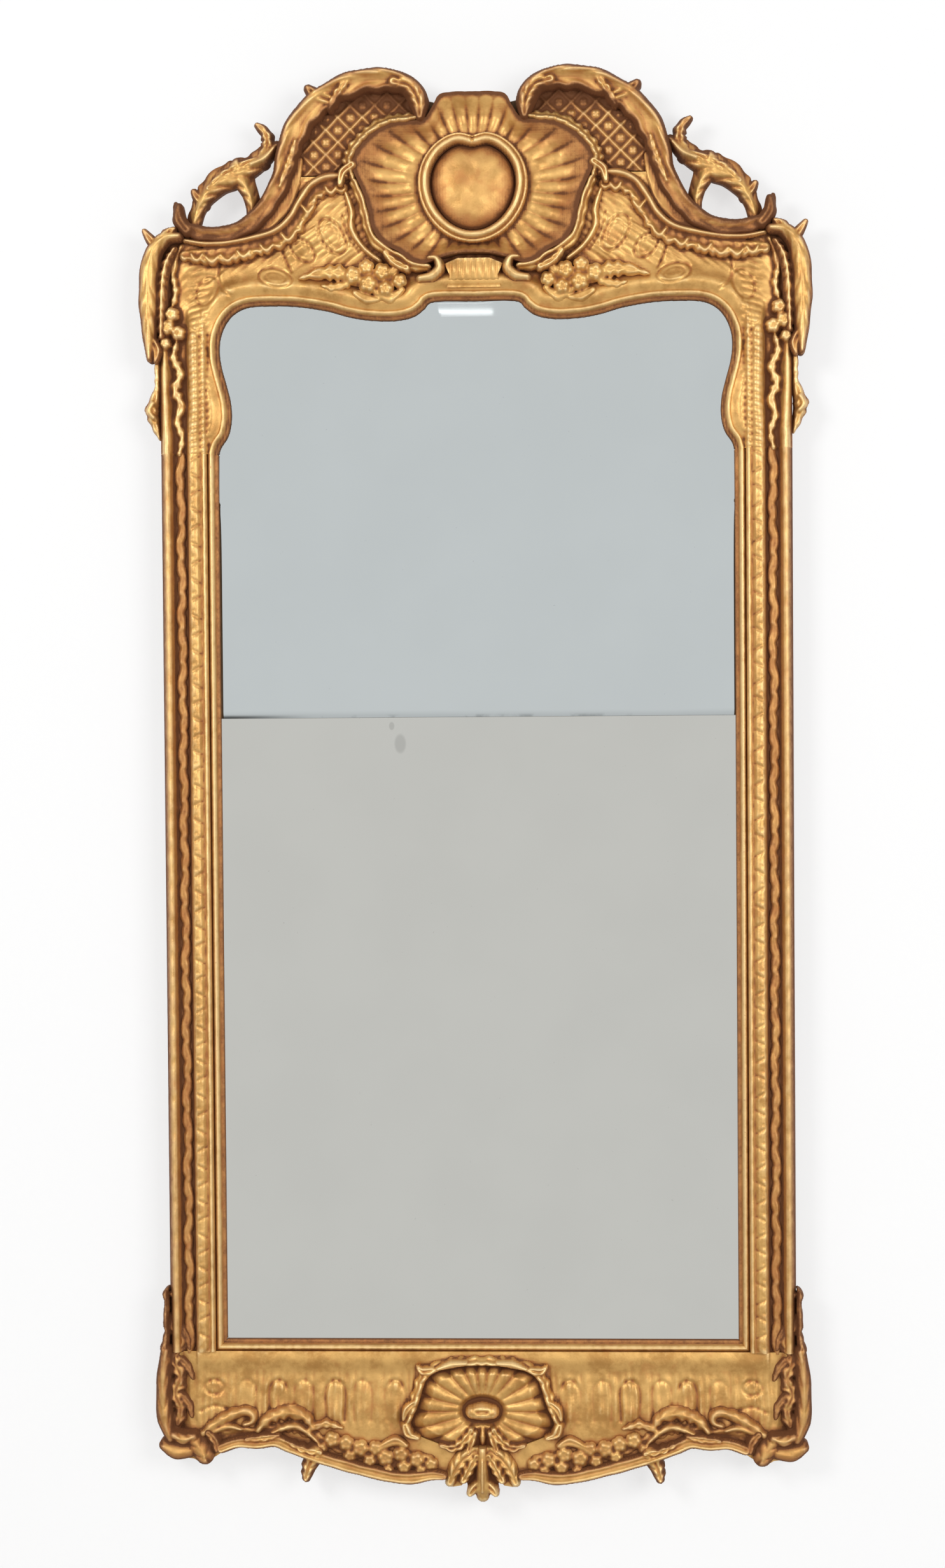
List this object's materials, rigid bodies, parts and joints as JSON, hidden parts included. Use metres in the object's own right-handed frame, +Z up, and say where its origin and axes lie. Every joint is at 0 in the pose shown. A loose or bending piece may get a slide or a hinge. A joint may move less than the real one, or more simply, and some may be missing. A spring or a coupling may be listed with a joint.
{
  "type": "trumeau mirror",
  "caption": "Tall wall mirror with two stacked plates in a carved gilt frame: pierced scroll crest with shell and cartouche, shaped apron with shell, and hanging rings on the back.",
  "frame": {"origin": "middle of the back face of the cross rail behind the joint of the two plates, on the wall plane", "axes": "+Z up along the height, +Y back into the wall, so the mirror faces -Y, and +X to the right of someone looking into it"},
  "size_m": [0.931, 0.0733, 1.995],
  "materials": {
    "gilt_wood": "water gilding over red bole on carved wood, rubbed through on the high edges and dull brown in the recesses",
    "pine": "old planed pine, dry and darkened, unpainted",
    "mirror_upper": "old silvered glass, cool grey, ground bevel along its shaped edge",
    "mirror_lower": "old silvered glass, warm grey, faint specks",
    "iron": "forged, dark, lightly rusted"
  },
  "bodies": {
    "frame": {"apron_pendant": "gilt_wood", "apron_ruffle_left": "gilt_wood", "apron_ruffle_right": "gilt_wood", "apron_scroll_left": "gilt_wood", "apron_scroll_right": "gilt_wood", "apron_shell": "gilt_wood", "apron_shell_rim": "gilt_wood", "backboard_1": "pine", "backboard_2": "pine", "backboard_3": "pine", "backboard_4": "pine", "carcass_bottom_rail": "pine", "carcass_cross_rail": "pine", "carcass_stile_left": "pine", "carcass_stile_right": "pine", "cartouche_boss": "gilt_wood", "cartouche_frame": "gilt_wood", "corner_scroll_left": "gilt_wood", "corner_scroll_right": "gilt_wood", "crest_panel": "pine", "crest_scroll_left": "gilt_wood", "crest_scroll_right": "gilt_wood", "crest_shell": "gilt_wood", "flower_spray_left": "gilt_wood", "flower_spray_right": "gilt_wood", "frieze_bottom": "gilt_wood", "frieze_top": "gilt_wood", "hanger_screw_lower_left": "iron", "hanger_screw_lower_right": "iron", "hanger_screw_upper_left": "iron", "hanger_screw_upper_right": "iron", "hanger_strap_left": "iron", "hanger_strap_right": "iron", "mirror_plate_lower": "mirror_lower", "mirror_plate_upper": "mirror_upper", "pierced_bracket_left": "gilt_wood", "pierced_bracket_right": "gilt_wood", "rocaille_border_left": "gilt_wood", "rocaille_border_right": "gilt_wood", "shell_foot": "gilt_wood", "shell_rim_left": "gilt_wood", "shell_rim_right": "gilt_wood", "shoulder_block_left": "gilt_wood", "shoulder_block_right": "gilt_wood", "shoulder_scroll_left": "gilt_wood", "shoulder_scroll_right": "gilt_wood", "side_moulding_left": "gilt_wood", "side_moulding_right": "gilt_wood", "sight_slip_bottom": "gilt_wood", "sight_slip_left": "gilt_wood", "sight_slip_right": "gilt_wood", "sight_slip_top": "gilt_wood", "stile_strand_left": "gilt_wood", "stile_strand_right": "gilt_wood", "stile_volute_left": "gilt_wood", "stile_volute_right": "gilt_wood", "trellis_panel_left": "gilt_wood", "trellis_panel_right": "gilt_wood"},
    "ring_left": {"hanger_ring_left": "iron"},
    "ring_right": {"hanger_ring_right": "iron"}
  },
  "joints": [
    {"name": "ring_left_swing", "type": "hinge", "parent": "frame", "child": "ring_left", "pos_m": [-0.39815, 0.0047, 0.463], "axis": [1, 0, 0], "range_deg": [0, 180]},
    {"name": "ring_right_swing", "type": "hinge", "parent": "frame", "child": "ring_right", "pos_m": [0.39815, 0.0047, 0.463], "axis": [1, 0, 0], "range_deg": [0, 180]}
  ]
}
